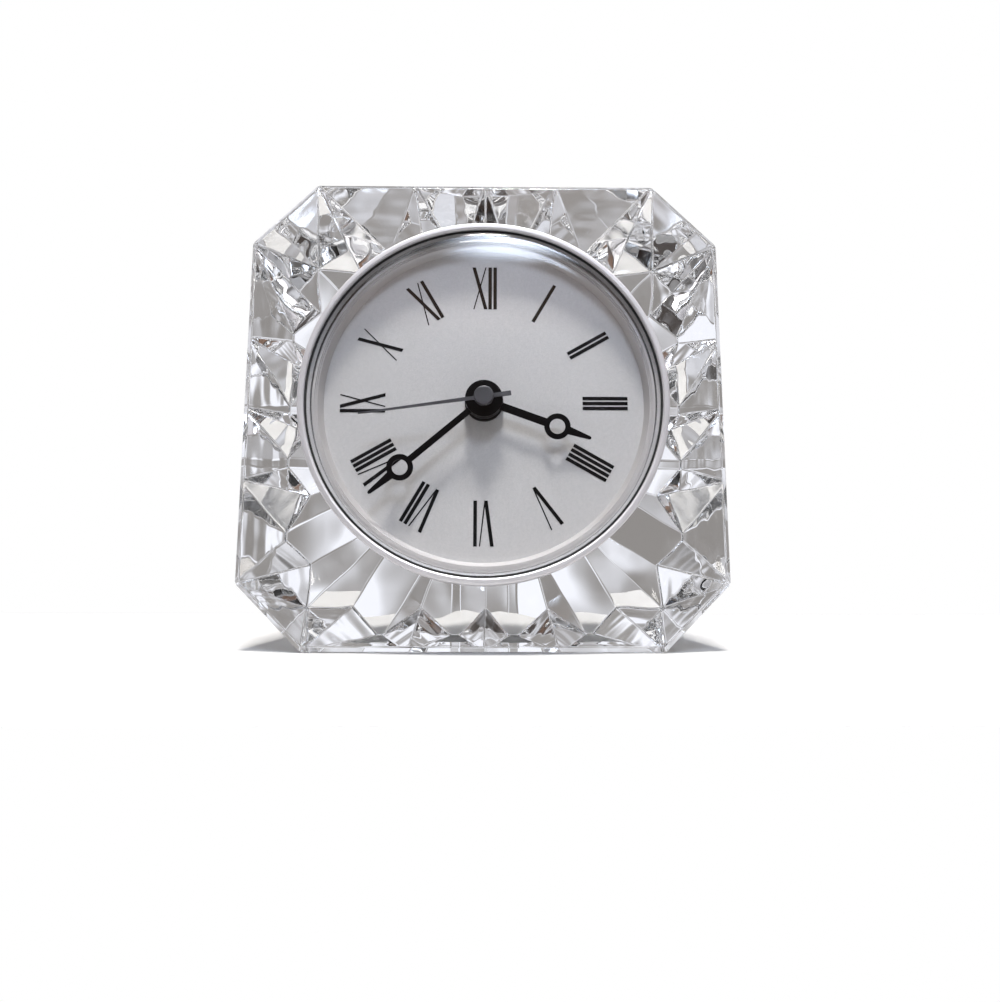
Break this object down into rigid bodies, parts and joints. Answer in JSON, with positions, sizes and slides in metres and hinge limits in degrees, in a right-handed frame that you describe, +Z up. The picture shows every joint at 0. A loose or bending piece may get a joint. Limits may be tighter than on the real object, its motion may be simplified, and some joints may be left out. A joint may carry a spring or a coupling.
{
  "type": "crystal mantel clock",
  "caption": "Square cut-crystal block clock with a round silver bezel, domed lens, Roman dial, three hands and a battery quartz movement in a pull-out insert.",
  "frame": {"origin": "centre of the object's outline, on the surface it stands on", "axes": "+Z up, the dial faces -Y and leans back by 3.9 degrees, +X to the viewer's right"},
  "size_m": [0.118, 0.0658, 0.1177],
  "materials": {
    "crystal": "polished and cut",
    "bezel_metal": "satin",
    "lens_clear": "polished",
    "dark_rubber": "matte",
    "reflector_silver": "bright silver coating",
    "dial_silver": "fine satin",
    "dial_ink": "printed",
    "hand_black": "gloss",
    "hand_grey": "satin",
    "bush_brass": "turned",
    "cup_plastic": "moulded",
    "case_plastic": "moulded",
    "plate_steel": "stamped",
    "copper_wire": "enamelled copper",
    "bobbin_plastic": "moulded",
    "board_laminate": "lacquered",
    "chip_resin": "cast",
    "can_nickel": "plated",
    "contact_nickel": "plated",
    "gear_acetal": "moulded",
    "magnet_ferrite": "sintered",
    "knob_plastic": "moulded",
    "cell_sleeve": "printed sleeve"
  },
  "bodies": {
    "block": {"crystal_block": "crystal"},
    "insert": {"bezel": "bezel_metal", "lens_seal": "dark_rubber", "lens": "lens_clear", "reflector_ring": "reflector_silver", "dial": "dial_silver", "numerals": "dial_ink", "dial_washer": "hand_black", "dial_nut": "hand_black", "centre_bush": "bush_brass", "insert_cup": "cup_plastic", "bore_band": "dark_rubber", "movement_plate": "case_plastic", "movement_case": "case_plastic", "bridge_plate": "plate_steel", "stator": "plate_steel", "coil_core": "plate_steel", "coil_bobbin": "bobbin_plastic", "coil_winding": "copper_wire", "circuit_board": "board_laminate", "timing_chip": "chip_resin", "resonator_can": "can_nickel", "contact_positive": "contact_nickel", "contact_negative": "contact_nickel"},
    "hour": {"hour_hand": "hand_black", "hour_wheel": "gear_acetal"},
    "minute": {"minute_hand": "hand_black", "cannon_pinion": "plate_steel"},
    "seconds": {"second_hand": "hand_grey", "second_cap": "hand_grey", "seconds_wheel": "gear_acetal"},
    "rotor": {"rotor_magnet": "magnet_ferrite", "rotor_pinion": "gear_acetal"},
    "intermediate": {"intermediate_wheel": "gear_acetal"},
    "third": {"third_wheel": "gear_acetal"},
    "centre": {"centre_wheel": "gear_acetal"},
    "setting": {"minute_wheel": "gear_acetal", "setting_knob": "knob_plastic"},
    "cell": {"cell_jacket": "cell_sleeve", "cell_terminals": "contact_nickel"}
  },
  "joints": [
    {"name": "insert_pull", "type": "slide", "parent": "block", "child": "insert", "axis": [0, -0.9977, 0.068], "range_m": [0, 0.018]},
    {"name": "minute_turn", "type": "hinge", "parent": "insert", "child": "minute", "pos_m": [0, -0.02032, 0.05896], "axis": [0, 0.9977, -0.068], "continuous": true},
    {"name": "hour_turn", "type": "hinge", "parent": "insert", "child": "hour", "pos_m": [0, -0.02032, 0.05896], "axis": [0, 0.9977, -0.068], "continuous": true},
    {"name": "setting_turn", "type": "hinge", "parent": "insert", "child": "setting", "pos_m": [0.00767, -0.02013, 0.06174], "axis": [0, 0.9977, -0.068], "continuous": true},
    {"name": "seconds_turn", "type": "hinge", "parent": "insert", "child": "seconds", "pos_m": [0, -0.02032, 0.05896], "axis": [0, 0.9977, -0.068], "continuous": true},
    {"name": "rotor_turn", "type": "hinge", "parent": "insert", "child": "rotor", "pos_m": [0.00098, -0.01939, 0.07264], "axis": [0, 0.9977, -0.068], "continuous": true},
    {"name": "intermediate_turn", "type": "hinge", "parent": "insert", "child": "intermediate", "pos_m": [0.00205, -0.0198, 0.06659], "axis": [0, 0.9977, -0.068], "continuous": true},
    {"name": "third_turn", "type": "hinge", "parent": "insert", "child": "third", "pos_m": [-0.00648, -0.02007, 0.06269], "axis": [0, 0.9977, -0.068], "continuous": true},
    {"name": "centre_turn", "type": "hinge", "parent": "insert", "child": "centre", "pos_m": [0, -0.02032, 0.05896], "axis": [0, 0.9977, -0.068], "continuous": true},
    {"name": "cell_slide", "type": "slide", "parent": "insert", "child": "cell", "axis": [0, 0.9977, -0.068], "range_m": [0, 0.018]}
  ],
  "couplings": [
    {"joint": "hour_turn", "follows": "minute_turn", "ratio": 0.083333},
    {"joint": "setting_turn", "follows": "minute_turn", "ratio": -0.33333},
    {"joint": "rotor_turn", "follows": "seconds_turn", "ratio": 30},
    {"joint": "intermediate_turn", "follows": "seconds_turn", "ratio": -5},
    {"joint": "third_turn", "follows": "seconds_turn", "ratio": -0.13333},
    {"joint": "centre_turn", "follows": "seconds_turn", "ratio": 0.016667}
  ]
}
